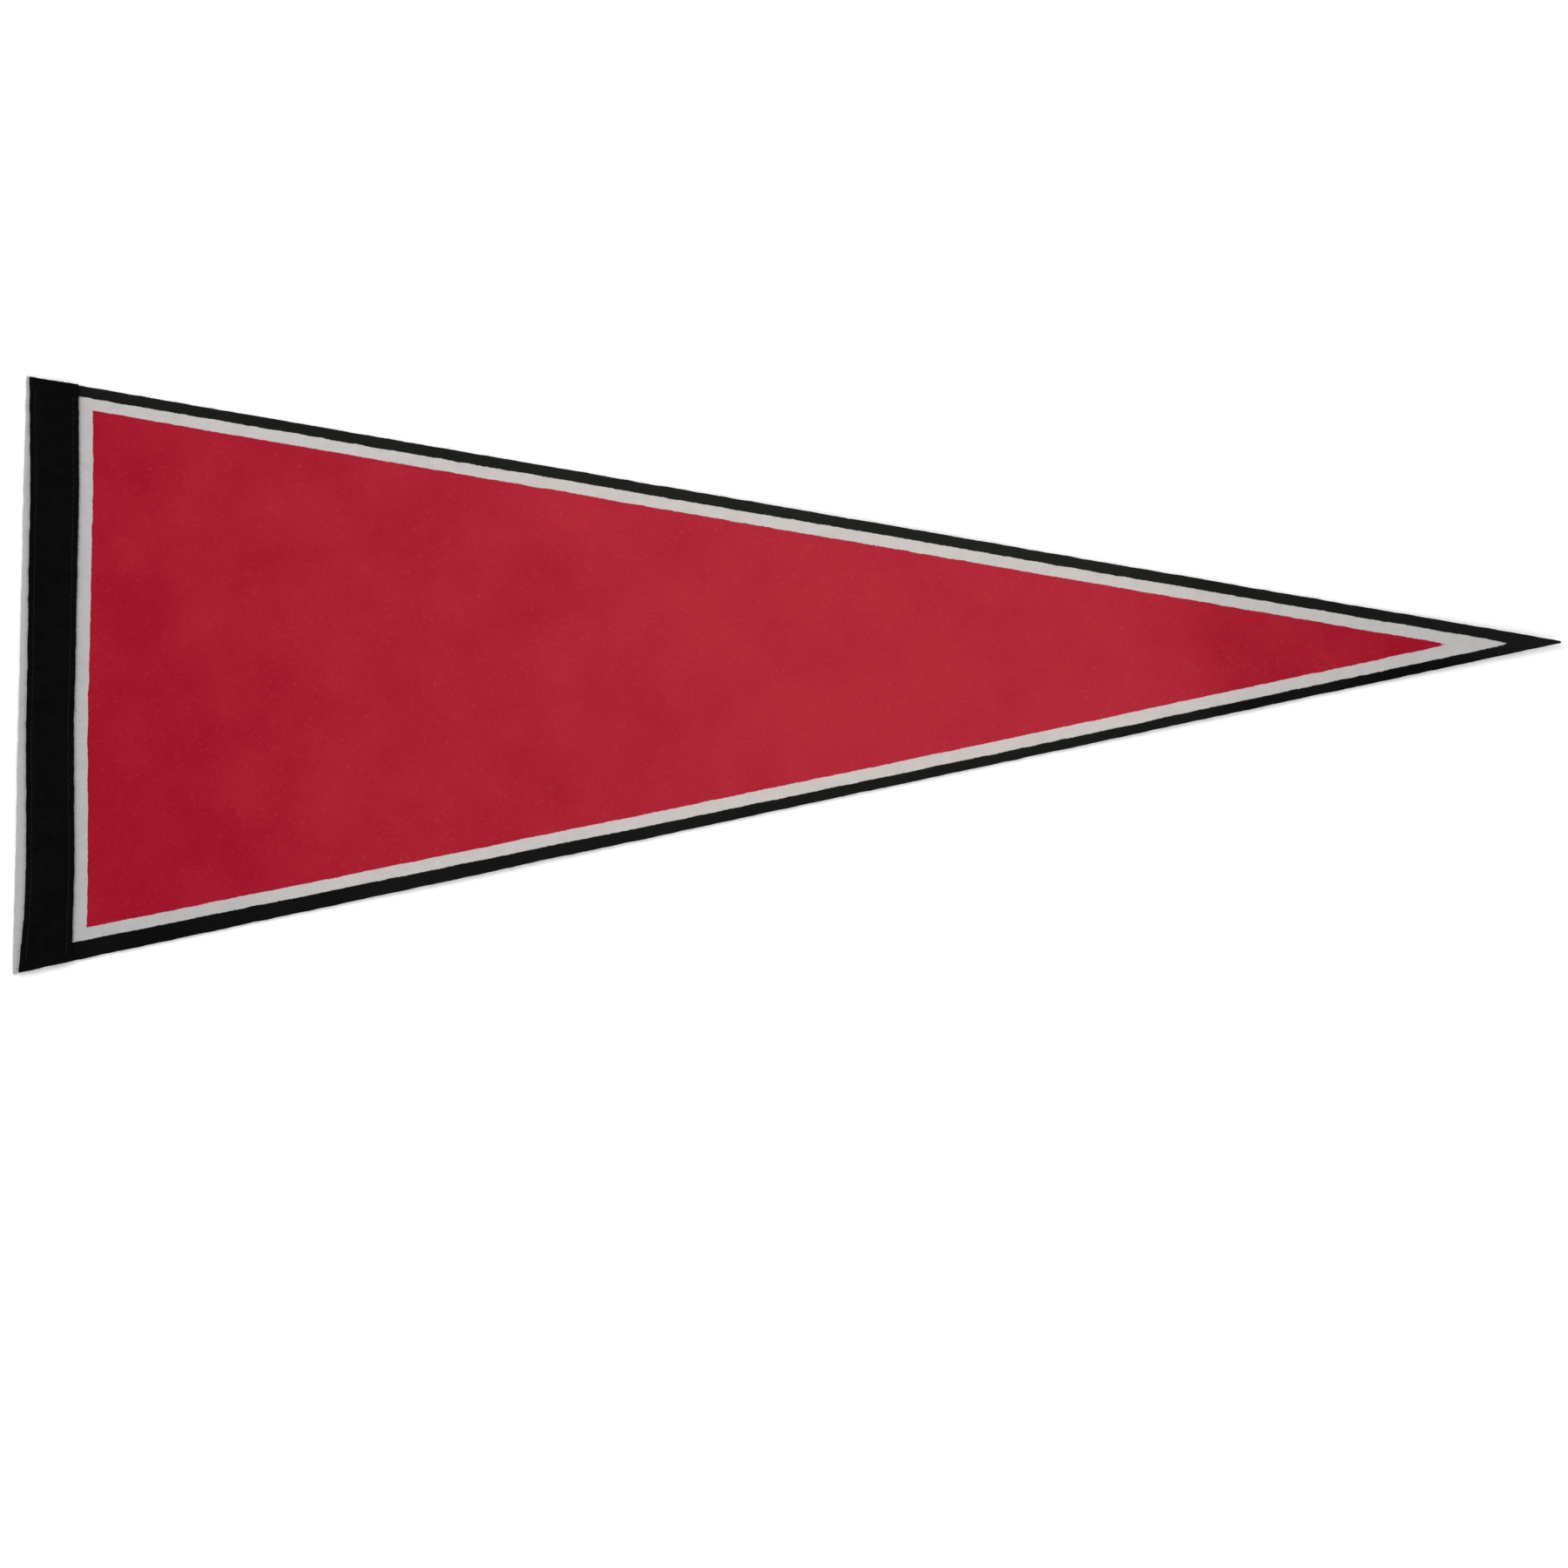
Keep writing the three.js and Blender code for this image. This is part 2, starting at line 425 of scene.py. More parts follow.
def felt_finish(tree, colour, tangle, clumps, roughness, sheen):
    """The felt's surface over a colour: the nap's relief and its grazing halo."""
    relief = add(
        tree, "ShaderNodeMath", {0: clumps, 1: CLUMP_RELIEF, 2: tangle}, operation="MULTIPLY_ADD"
    )
    nap = add(
        tree, "ShaderNodeBump", {"Strength": 0.7, "Distance": NAP_DEPTH, "Height": relief.outputs[0]}
    )
    surface = add(
        tree,
        "ShaderNodeBsdfPrincipled",
        {
            "Base Color": colour,
            "Roughness": roughness,
            "Specular IOR Level": 0.02,
            "Sheen Weight": sheen,
            "Sheen Roughness": 0.6,
            "Normal": nap.outputs[0],
        },
    )
    add(tree, "ShaderNodeOutputMaterial", {"Surface": surface.outputs[0]})


# White felt, screen printed in red and black. The ink sinks into the nap, so it is matt, uneven in depth,
# ragged by a fibre's width at its edges, and lets pale fibres through. The felt left bare is a warm white.
# Painted light is fullest past the middle, and towards the hoist and the tip painted shade greys the white
# and deepens the inks.
BARE = "#c2bcb8"
# The bare white under painted shade, towards the hoist and the tip and in the hollows of the unprinted felt
BARE_SHADED = "#a9a9a9"
# The red under full painted light, and the red under painted shade towards the hoist and the tip; the
# clouds move between them too
RED_INK = "#a62432"
RED_INK_DEEP_AND_SHADED = "#910d22"
BLACK_INK = "#060606"
# A lighter black, for the painted light past the middle and for the lighter head edge
BLACK_INK_LIGHTER = "#1c1e1b"
printed_felt, tree = new_material("White wool-blend felt, screen printed")
place = add(tree, "ShaderNodeTexCoord").outputs["Object"]
tangle, clumps = matted_fibres(tree, place)

# Fibres carry the ink across a print edge, and the edge wanders
RAGGED = 0.35 * MM  # how far fibres carry it, to each side
RAG_SIZE = 1.3 * MM  # over this distance along the edge
WAVER = 0.25 * MM  # how far the edge itself wanders
WAVER_SIZE = 6 * MM
rag = add(tree, "ShaderNodeTexNoise", {"Vector": place, "Scale": 1 / RAG_SIZE, "Detail": 2.0})
rag_shift = add(
    tree,
    "ShaderNodeMath",
    {0: rag.outputs["Fac"], 1: RAGGED * 2, 2: -RAGGED},
    operation="MULTIPLY_ADD",
)
slow = add(tree, "ShaderNodeTexNoise", {"Vector": place, "Scale": 1 / WAVER_SIZE, "Detail": 1.0})
slow_shift = add(
    tree,
    "ShaderNodeMath",
    {0: slow.outputs["Fac"], 1: WAVER * 2, 2: -WAVER},
    operation="MULTIPLY_ADD",
)
shift = add(tree, "ShaderNodeMath", {0: rag_shift.outputs[0], 1: slow_shift.outputs[0]}, operation="ADD")
distances = {}
for side in ("from_head", "from_foot", "from_strip"):
    plain = add(tree, "ShaderNodeAttribute", attribute_name=side)
    ragged = add(tree, "ShaderNodeMath", {0: plain.outputs["Fac"], 1: shift.outputs[0]}, operation="ADD")
    distances[side] = ragged.outputs[0]

# The ink fills in the print's corners a little, most in the sharp point at the tip: how far off it starts
CORNER_FILL = {"from_foot": 3.0 * MM, "from_strip": 0.8 * MM}
EDGE_SOFT = 0.15 * MM  # the ink gives out over this distance to each side of its edge


def inside(edges):
    """1 inside all of the print edges, each moved in by its keyline, and 0 outside."""
    nearest = None
    for side, inset in edges.items():
        past = add(tree, "ShaderNodeMath", {0: distances[side], 1: inset}, operation="SUBTRACT").outputs[0]
        if nearest is not None:
            joined = add(
                tree, "ShaderNodeMath", {0: nearest, 1: past, 2: CORNER_FILL[side]}, operation="SMOOTH_MIN"
            )
            past = joined.outputs[0]
        nearest = past
    return add(
        tree, "ShaderNodeMapRange", {"Value": nearest, "From Min": -EDGE_SOFT, "From Max": EDGE_SOFT}
    ).outputs[0]


in_field = inside({"from_head": HEAD_KEYLINE, "from_foot": FOOT_KEYLINE, "from_strip": HOIST_KEYLINE})
in_keyline = inside({"from_head": 0.0, "from_foot": 0.0})
PRINT_START = -12 * MM  # the print runs on under the strip, and stops short of the bare margin
printed_side = inside({"from_strip": PRINT_START})

# Some ink runs over onto the cut edge, and stops raggedly
INK_RAGGED = 0.5  # how far the fibres vary the ink's reach, which is 1 on the front and 0 on the back
INK_ENDS, INK_FULL = 0.55, 0.85
ink_reach = add(tree, "ShaderNodeAttribute", attribute_name="ink")
ink_ragged = add(
    tree,
    "ShaderNodeMath",
    {0: rag.outputs["Fac"], 1: INK_RAGGED, 2: ink_reach.outputs["Fac"]},
    operation="MULTIPLY_ADD",
)
on_front = add(
    tree,
    "ShaderNodeMapRange",
    {"Value": ink_ragged.outputs[0], "From Min": INK_ENDS, "From Max": INK_FULL},
)
inked = add(tree, "ShaderNodeMath", {0: on_front.outputs[0], 1: printed_side}, operation="MULTIPLY")

# Painted light along the flag's length, from the hoist at 0 to the tip at 1: full past the middle, with
# painted shade towards both ends
PAINTED_LIGHT_ALONG = [
    (0.0, 0.0),
    (0.075, 0.05),
    (0.155, 0.34),
    (0.32, 0.56),
    (0.6, 0.96),
    (0.73, 0.88),
    (0.8, 0.34),
    (1.0, 0.0),
]
FADE_SLANT = 0.3  # a step towards the foot counts as this share of a step towards the hoist
slanted = add(tree, "ShaderNodeVectorMath", {0: place, 1: (1.0, FADE_SLANT, 0.0)}, operation="DOT_PRODUCT")
along = add(
    tree,
    "ShaderNodeMapRange",
    {"Value": slanted.outputs["Value"], "From Min": panel_low.x, "From Max": panel_high.x},
)
painted_light = add(tree, "ShaderNodeFloatCurve", {"Value": along.outputs[0]})
painted_falloff = painted_light.mapping.curves[0]
painted_falloff.points[0].location = PAINTED_LIGHT_ALONG[0]
painted_falloff.points[1].location = PAINTED_LIGHT_ALONG[-1]
for spot in PAINTED_LIGHT_ALONG[1:-1]:
    painted_falloff.points.new(*spot)
painted_light.mapping.update()

# The pressure of the squeegee wanders, and clouds the ink
CLOUD = 48 * MM  # from one cloud to the next
CLOUD_LOW, CLOUD_HIGH = 0.3, 0.7  # the noise hardly leaves this range
CLOUD_SWING = 0.25  # how much cleaner or deeper the ink gets in a cloud
cloud = add(
    tree,
    "ShaderNodeTexNoise",
    {"Vector": place, "Scale": 1 / CLOUD, "Detail": 4.0, "Roughness": 0.6},
)
wander = add(
    tree,
    "ShaderNodeMapRange",
    {
        "Value": cloud.outputs["Fac"],
        "From Min": CLOUD_LOW,
        "From Max": CLOUD_HIGH,
        "To Min": -CLOUD_SWING,
        "To Max": CLOUD_SWING,
    },
)
# The painted light, with the clouds on top of it
light_and_cloud = add(
    tree,
    "ShaderNodeMath",
    {0: painted_light.outputs[0], 1: wander.outputs[0]},
    operation="ADD",
    use_clamp=True,
)
red = add(
    tree,
    "ShaderNodeMix",
    {0: light_and_cloud.outputs[0], 6: linear(RED_INK_DEEP_AND_SHADED), 7: linear(RED_INK)},
    data_type="RGBA",
)

# The black is lighter along the head edge than along the foot edge, and painted light lightens it past the
# middle as it does the red
BLACK_LIT_SHARE = 0.6  # how much the painted light lightens the black where it is full
HEAD_LIGHTER = 0.4  # and how much lighter the black is at the head edge
HEAD_LIGHTER_REACH = 15 * MM  # from the head border inwards, to where that has run out
by_head = add(
    tree,
    "ShaderNodeMapRange",
    {"Value": distances["from_head"], "From Max": HEAD_LIGHTER_REACH, "To Min": HEAD_LIGHTER, "To Max": 0.0},
)
black_lightening = add(
    tree,
    "ShaderNodeMath",
    {0: light_and_cloud.outputs[0], 1: BLACK_LIT_SHARE, 2: by_head.outputs[0]},
    operation="MULTIPLY_ADD",
)
black = add(
    tree,
    "ShaderNodeMix",
    {0: black_lightening.outputs[0], 6: linear(BLACK_INK), 7: linear(BLACK_INK_LIGHTER)},
    data_type="RGBA",
)

# Painted shade darkens the bare felt a little in its hollows, and pale fibres show through the red
SHADE_SPREAD = 0.5  # below 1, the painted shade on the bare felt stays near the hoist and the tip
HOLLOW_SHADE = 0.9  # how bright the deepest hollows are
PALE_FIBRES = 0.06  # how much of their white shows
PALE_START, PALE_END = 0.64, 0.84  # only the highest fibres of the tangle
# Painted shade greys the bare felt towards the hoist and the tip
bare_light = add(tree, "ShaderNodeMath", {0: painted_light.outputs[0], 1: SHADE_SPREAD}, operation="POWER")
bare_painted_light = add(
    tree,
    "ShaderNodeMix",
    {0: bare_light.outputs[0], 6: linear(BARE_SHADED), 7: linear(BARE)},
    data_type="RGBA",
)
dim = add(tree, "ShaderNodeMapRange", {"Value": hollows(tree, tangle, clumps), "To Min": HOLLOW_SHADE})
shaded = add(
    tree, "ShaderNodeVectorMath", {0: bare_painted_light.outputs[2], 3: dim.outputs[0]}, operation="SCALE"
)
bare = shaded.outputs[0]
pale_fibres = add(
    tree,
    "ShaderNodeMapRange",
    {"Value": tangle, "From Min": PALE_START, "From Max": PALE_END, "To Max": PALE_FIBRES},
)
inked_red = add(
    tree, "ShaderNodeMix", {0: pale_fibres.outputs[0], 6: red.outputs[2], 7: bare}, data_type="RGBA"
)
framed = add(tree, "ShaderNodeMix", {0: in_field, 6: bare, 7: inked_red.outputs[2]}, data_type="RGBA")
bordered = add(
    tree, "ShaderNodeMix", {0: in_keyline, 6: black.outputs[2], 7: framed.outputs[2]}, data_type="RGBA"
)
front = add(
    tree, "ShaderNodeMix", {0: inked.outputs[0], 6: bare, 7: bordered.outputs[2]}, data_type="RGBA"
)
felt_finish(tree, front.outputs[2], tangle, clumps, roughness=0.92, sheen=0.03)
panel.data.materials.append(printed_felt)
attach(panel, "root")
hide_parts("felt_panel")


# Loose fibres of the panel. Shears leave felt with a white fringe of fibre ends that stand a millimetre or
# two out of the cut edge, and some have worked loose from its faces with the ink still on them. They are
# drawn three times too thick.
SHORTEST, LONGEST = 0.35, 1.25  # shares of the usual length
FIBRE_POINTS = 5  # along each fibre
CURL_SIZE = 1.3 * MM  # a fibre curls this way and that over this distance
GROUND_CLEARANCE = 0.1 * MM  # no fibre goes lower than this over the surface that the flag lies on
FIBRE_SIDES = 3
FIBRE_TIP = 0.35  # its thickness at the tip, as a share of the root's


def new_tree(name, sockets, result):
    """An empty tree of Geometry Nodes with named inputs, and the sockets that their values come from."""
    tree = bpy.data.node_groups.new(name, "GeometryNodeTree")
    for label, (kind, value) in sockets.items():
        socket = tree.interface.new_socket(label, in_out="INPUT", socket_type=kind)
        if value is not None:
            socket.default_value = value
    tree.interface.new_socket(result, in_out="OUTPUT", socket_type="NodeSocketGeometry")
    return tree, add(tree, "NodeGroupInput").outputs


def loose_fibres_tree():
    sockets = {
        "Felt": ("NodeSocketGeometry", None),
        "Rooted where": ("NodeSocketString", "fringe"),
        "Fibres per square metre": ("NodeSocketFloat", 1.5e6),
        "Length": ("NodeSocketFloat", 1.7 * MM),
        "Thickness": ("NodeSocketFloat", 0.06 * MM),
        "Lean": ("NodeSocketFloat", math.radians(62)),
        "Curl": ("NodeSocketFloat", 1.8 * MM),
        "Seed": ("NodeSocketInt", 3),
    }
    tree, given = new_tree("Loose felt fibres", sockets, "Fibres")
    share = add(tree, "GeometryNodeInputNamedAttribute", {"Name": given["Rooted where"]})
    density = add(
        tree,
        "ShaderNodeMath",
        {0: share.outputs["Attribute"], 1: given["Fibres per square metre"]},
        operation="MULTIPLY",
    )
    roots = add(
        tree,
        "GeometryNodeDistributePointsOnFaces",
        {"Mesh": given["Felt"], "Density": density.outputs[0], "Seed": given["Seed"]},
    )
    lean = add(tree, "ShaderNodeVectorMath", {0: (1.0, 1.0, 0.0), 3: given["Lean"]}, operation="SCALE")
    back = add(tree, "ShaderNodeVectorMath", {0: (-1.0, -1.0, 0.0), 3: given["Lean"]}, operation="SCALE")
    tilt = add(
        tree,
        "FunctionNodeRandomValue",
        {0: back.outputs[0], 1: lean.outputs[0], "Seed": given["Seed"]},
        data_type="FLOAT_VECTOR",
    )
    turned = add(
        tree,
        "FunctionNodeRotateRotation",
        {"Rotation": roots.outputs["Rotation"], "Rotate By": tilt.outputs[0]},
        rotation_space="LOCAL",
    )
    size = add(
        tree,
        "FunctionNodeRandomValue",
        {2: SHORTEST, 3: LONGEST, "Seed": given["Seed"]},
        data_type="FLOAT",
    )
    end = add(tree, "ShaderNodeCombineXYZ", {"Z": given["Length"]})
    straight = add(tree, "GeometryNodeCurvePrimitiveLine", {"End": end.outputs[0]})
    divided = add(tree, "GeometryNodeResampleCurve", {"Curve": straight.outputs[0], "Count": FIBRE_POINTS})
    placed = add(
        tree,
        "GeometryNodeInstanceOnPoints",
        {
            "Points": roots.outputs["Points"],
            "Instance": divided.outputs[0],
            "Rotation": turned.outputs[0],
            "Scale": size.outputs[1],
        },
    )
    real = add(tree, "GeometryNodeRealizeInstances", {"Geometry": placed.outputs[0]})
    along = add(tree, "GeometryNodeSplineParameter").outputs["Factor"]
    wander = add(tree, "ShaderNodeTexNoise", {"Scale": 1 / CURL_SIZE, "Detail": 0.0})
    centred = add(
        tree, "ShaderNodeVectorMath", {0: wander.outputs["Color"], 1: (0.5, 0.5, 0.5)}, operation="SUBTRACT"
    )
    amount = add(tree, "ShaderNodeMath", {0: along, 1: given["Curl"]}, operation="MULTIPLY")
    offset = add(
        tree, "ShaderNodeVectorMath", {0: centred.outputs[0], 3: amount.outputs[0]}, operation="SCALE"
    )
    here = add(tree, "GeometryNodeInputPosition").outputs[0]
    bent = add(tree, "ShaderNodeVectorMath", {0: here, 1: offset.outputs[0]}, operation="ADD")
    lowest = (-1.0, -1.0, GROUND_CLEARANCE)  # the flag's x and y never come near -1 metre
    above = add(tree, "ShaderNodeVectorMath", {0: bent.outputs[0], 1: lowest}, operation="MAXIMUM")
    curled = add(
        tree, "GeometryNodeSetPosition", {"Geometry": real.outputs[0], "Position": above.outputs[0]}
    )
    half = add(tree, "ShaderNodeMath", {0: given["Thickness"], 1: 0.5}, operation="MULTIPLY")
    section = add(
        tree, "GeometryNodeCurvePrimitiveCircle", {"Resolution": FIBRE_SIDES, "Radius": half.outputs[0]}
    )
    taper = add(tree, "ShaderNodeMapRange", {"Value": along, "To Min": 1.0, "To Max": FIBRE_TIP})
    solid = add(
        tree,
        "GeometryNodeCurveToMesh",
        {
            "Curve": curled.outputs[0],
            "Profile Curve": section.outputs[0],
            "Scale": taper.outputs[0],
            "Fill Caps": True,
        },
    )
    whole = add(tree, "GeometryNodeRealizeInstances", {"Geometry": solid.outputs[0]})
    finished = add(tree, "GeometryNodeSetMaterial", {"Geometry": whole.outputs[0]})
    add(tree, "NodeGroupOutput", {"Fibres": finished.outputs[0]})
    return tree, finished


def grown(name, source, tree_and_finish, material, sizes):
    """A plain mesh object that a tree of Geometry Nodes makes from another object's mesh."""
    tree, finish = tree_and_finish
    finish.inputs["Material"].default_value = material
    carrier = bpy.data.objects.new(name + "_source", source.data)
    bpy.context.collection.objects.link(carrier)
    modifier = carrier.modifiers.new(tree.name, "NODES")
    modifier.node_group = tree
    for item in tree.interface.items_tree:
        if item.in_out == "INPUT" and item.name in sizes:
            modifier[item.identifier] = sizes[item.name]
    evaluated = carrier.evaluated_get(bpy.context.evaluated_depsgraph_get())
    mesh = bpy.data.meshes.new_from_object(evaluated)
    mesh.name = name
    bpy.data.objects.remove(carrier)
    piece = bpy.data.objects.new(name, mesh)
    bpy.context.collection.objects.link(piece)
    return piece


# The same felt where no ink has reached: matt and a warm white, with painted shade greying its hollows, and
# the same halo
bare_felt, tree = new_material("White wool-blend felt, unprinted")
tangle, clumps = matted_fibres(tree, add(tree, "ShaderNodeTexCoord").outputs["Object"])
bare = add(
    tree,
    "ShaderNodeMix",
    {0: hollows(tree, tangle, clumps), 6: linear(BARE_SHADED), 7: linear(BARE)},
    data_type="RGBA",
)
felt_finish(tree, bare.outputs[2], tangle, clumps, roughness=0.92, sheen=0.03)
fibres = loose_fibres_tree()
panel_fringe = grown("felt_panel_fringe", panel, fibres, bare_felt, {"Seed": 3})
panel_nap = grown(
    "felt_panel_nap",
    panel,
    fibres,
    printed_felt,
    {"Rooted where": "nap", "Fibres per square metre": 6.0e3, "Seed": 4},
)

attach(panel_fringe, "root")
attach(panel_nap, "root")

# The heading strip. A band of black felt, cut by hand a little unevenly and laid on the panel beside the
# hoist. Its two long edges stand free outside the seams and fan up a little, as thick felt does when it is
# stitched, and its ends are cut off with the panel's.
STRIP_FELT = 1.5 * MM
LAYER_GAP = 0.3 * MM  # between the two felts, away from the seams
STRIP_UNDER_PULL = PANEL_PULL + 0.2 * MM  # at the seams its underside comes this far down
STRIP_PROUD = 0.5 * MM  # the inner corner stands this far past the panel's head edge
STRIP_CELL = 0.62 * MM  # how finely the strip is divided across
STRIP_STEP = 0.8 * MM  # and along its length
STRIP_DRAW = 0.75 * MM  # how deep the thread draws in the strip's face at a needle hole
BETWEEN_HOLES = 0.3  # the face rises again by this share between two holes
EDGE_FAN = 0.35 * MM  # how much a free edge stands up
FAN_MEAN, FAN_SWING = 0.9, 0.8  # it varies along the edge, as shares of that
FAN_OVER = 17 * MM  # over this distance


def strip_fan(x, y):
    """How much a free edge of the strip stands up, from the seam outwards."""
    down, inset = hoist_place(x, y)
    margin = strip_edge(down, "margin")
    to_edge = min(inset - margin, margin + strip_edge(down, "width") - inset)
    share = min(1.0, max(0.0, 1 - to_edge / SEAM_INSET))
    return EDGE_FAN * share**2 * (FAN_MEAN + FAN_SWING * noise.noise(Vector((x, y, 0)) / FAN_OVER))


def strip_under(x, y):
    gap = LAYER_GAP - STRIP_UNDER_PULL * seam_pull(x, y)
    return lift(x, y) + PANEL_FELT + gap + lumps(x, y, seed=0) + strip_fan(x, y)


def strip_top(x, y):
    face = lift(x, y) + PANEL_FELT + LAYER_GAP + STRIP_FELT + lumps(x, y, seed=21) + strip_fan(x, y)
    beat = 0.5 - 0.5 * math.cos(math.tau * hoist_place(x, y)[0] / STITCH)
    return face - STRIP_DRAW * seam_pull(x, y) * (1 - BETWEEN_HOLES * beat)


# Both ends of the strip follow the panel's long edges: how far down the hoist each runs for a step away
# from it
head_edge = tip_head - head
foot_edge = tip_foot - foot
head_slope = head_edge.dot(down_hoist) / head_edge.dot(from_hoist)
foot_slope = foot_edge.dot(down_hoist) / foot_edge.dot(from_hoist)
strip_columns = []
across_count = round(STRIP_EDGES[0]["width"] * MM / STRIP_CELL)
down_count = round(hoist_length / STRIP_STEP)
for c in range(across_count + 1):
    across = c / across_count
    column = []
    for r in range(down_count, -1, -1):
        share = r / down_count
        down = share * hoist_length
        width = strip_edge(down, "width") - 2 * EDGE_ROUND
        inset = strip_edge(down, "margin") + EDGE_ROUND + across * width
        start = inset * head_slope - across * STRIP_PROUD + EDGE_ROUND - EDGE_PROUD
        end = hoist_length + inset * foot_slope - EDGE_ROUND + EDGE_PROUD
        column.append(head + down_hoist * (start + (end - start) * share) + from_hoist * inset)
    strip_columns.append(column)
strip = felt_sheet("heading_strip_cloth", strip_columns, strip_under, strip_top)

# Black wool-blend felt, dyed in the mass and napped. Almost no light comes back but a faint halo.
BLACK_FELT = "#070707"
BLACK_FELT_SHADED = "#020202"
black_felt, tree = new_material("Black wool-blend felt, dyed")
tangle, clumps = matted_fibres(tree, add(tree, "ShaderNodeTexCoord").outputs["Object"])
# Painted shade darkens the black a little in the hollows of the nap
dyed = add(
    tree,
    "ShaderNodeMix",
    {0: hollows(tree, tangle, clumps), 6: linear(BLACK_FELT_SHADED), 7: linear(BLACK_FELT)},
    data_type="RGBA",
)
felt_finish(tree, dyed.outputs[2], tangle, clumps, roughness=0.95, sheen=0.02)
strip.data.materials.append(black_felt)
strip_fringe = grown("heading_strip_fringe", strip, fibres, black_felt, {"Seed": 8})
strip_nap = grown(
    "heading_strip_nap",
    strip,
    fibres,
    black_felt,
    {"Rooted where": "nap", "Fibres per square metre": 1.6e4, "Seed": 9},
)

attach(strip, "root")
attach(strip_fringe, "root")
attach(strip_nap, "root")
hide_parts("heading_strip")

# The sewing. Black polyester thread of three plies, in two machine-made rows of lockstitch. Each stitch is
# an arch of thread from one needle hole to the next, half sunk in the groove that it draws in the felt. The
# top thread shows on the strip and the bobbin thread on the panel's back.
THREAD = 0.42 * MM
ARCH = 0.42 * MM  # how far the thread is drawn up between two holes
BACK_ARCH = -0.38 * MM  # down from the back's surface, and just clear of what the flag lies on
SINK = 0.3 * MM  # how far its ends go into the holes
PLIES = 3
PLY_GROOVE = 0.76  # the thread's radius between two plies, as a share of its radius on one
HOLE_SHARE, ARCH_SHARE = 0.03, 0.12  # how far in from a stitch's ends its curve and its handles lie
ARCH_PIECES = 7  # straight pieces along each arch


def lockstitch_tree():
    sockets = {
        "Needle holes": ("NodeSocketGeometry", None),
        "Stitch length": ("NodeSocketFloat", STITCH),
        "Thread thickness": ("NodeSocketFloat", THREAD),
        "Arch": ("NodeSocketFloat", ARCH),
        "Sink": ("NodeSocketFloat", SINK),
        "Ply turns": ("NodeSocketFloat", 1.3),
        "Slant": ("NodeSocketFloat", math.radians(3)),
        "Seed": ("NodeSocketInt", 5),
    }
    tree, given = new_tree("Lockstitch row", sockets, "Thread")

    def stitch_point(share, height):
        x = add(tree, "ShaderNodeMath", {0: given["Stitch length"], 1: share}, operation="MULTIPLY")
        return add(tree, "ShaderNodeCombineXYZ", {"X": x.outputs[0], "Z": height}).outputs[0]

    below = add(tree, "ShaderNodeMath", {0: given["Sink"], 1: -1.0}, operation="MULTIPLY").outputs[0]
    arch = add(
        tree,
        "GeometryNodeCurvePrimitiveBezierSegment",
        {
            "Resolution": ARCH_PIECES,
            "Start": stitch_point(HOLE_SHARE, below),
            "Start Handle": stitch_point(ARCH_SHARE, given["Arch"]),
            "End Handle": stitch_point(1 - ARCH_SHARE, given["Arch"]),
            "End": stitch_point(1 - HOLE_SHARE, below),
        },
    )
    along = add(tree, "GeometryNodeSplineParameter").outputs["Factor"]
    turns = add(tree, "ShaderNodeMath", {0: given["Ply turns"], 1: math.tau}, operation="MULTIPLY")
    twist = add(tree, "ShaderNodeMath", {0: along, 1: turns.outputs[0]}, operation="MULTIPLY")
    twisted = add(tree, "GeometryNodeSetCurveTilt", {"Curve": arch.outputs[0], "Tilt": twist.outputs[0]})
    radius = add(tree, "ShaderNodeMath", {0: given["Thread thickness"], 1: 0.5}, operation="MULTIPLY")
    groove = add(tree, "ShaderNodeMath", {0: radius.outputs[0], 1: PLY_GROOVE}, operation="MULTIPLY")
    plies = add(
        tree,
        "GeometryNodeCurveStar",
        {"Points": PLIES, "Inner Radius": groove.outputs[0], "Outer Radius": radius.outputs[0]},
    )
    stitch = add(
        tree,
        "GeometryNodeCurveToMesh",
        {"Curve": twisted.outputs[0], "Profile Curve": plies.outputs[0], "Fill Caps": True},
    )
    row = add(tree, "GeometryNodeMeshToCurve", {"Mesh": given["Needle holes"]})
    tangent = add(tree, "GeometryNodeInputTangent")
    aim = add(tree, "FunctionNodeAlignRotationToVector", {"Vector": tangent.outputs[0]}, axis="X")
    slant_low = add(tree, "ShaderNodeMath", {0: given["Slant"], 1: -1.0}, operation="MULTIPLY")
    low_turn = add(tree, "ShaderNodeCombineXYZ", {"Z": slant_low.outputs[0]})
    high_turn = add(tree, "ShaderNodeCombineXYZ", {"Z": given["Slant"]})
    slant = add(
        tree,
        "FunctionNodeRandomValue",
        {0: low_turn.outputs[0], 1: high_turn.outputs[0], "Seed": given["Seed"]},
        data_type="FLOAT_VECTOR",
    )
    turned = add(
        tree,
        "FunctionNodeRotateRotation",
        {"Rotation": aim.outputs[0], "Rotate By": slant.outputs[0]},
        rotation_space="LOCAL",
    )
    last = add(tree, "GeometryNodeCurveEndpointSelection", {"Start Size": 0, "End Size": 1})
    not_last = add(tree, "FunctionNodeBooleanMath", {0: last.outputs[0]}, operation="NOT")
    sewn = add(
        tree,
        "GeometryNodeInstanceOnPoints",
        {
            "Points": row.outputs[0],
            "Selection": not_last.outputs[0],
            "Instance": stitch.outputs[0],
            "Rotation": turned.outputs[0],
        },
    )
    whole = add(tree, "GeometryNodeRealizeInstances", {"Geometry": sewn.outputs[0]})
    finished = add(tree, "GeometryNodeSetMaterial", {"Geometry": whole.outputs[0]})
    add(tree, "NodeGroupOutput", {"Thread": finished.outputs[0]})
    return tree, finished


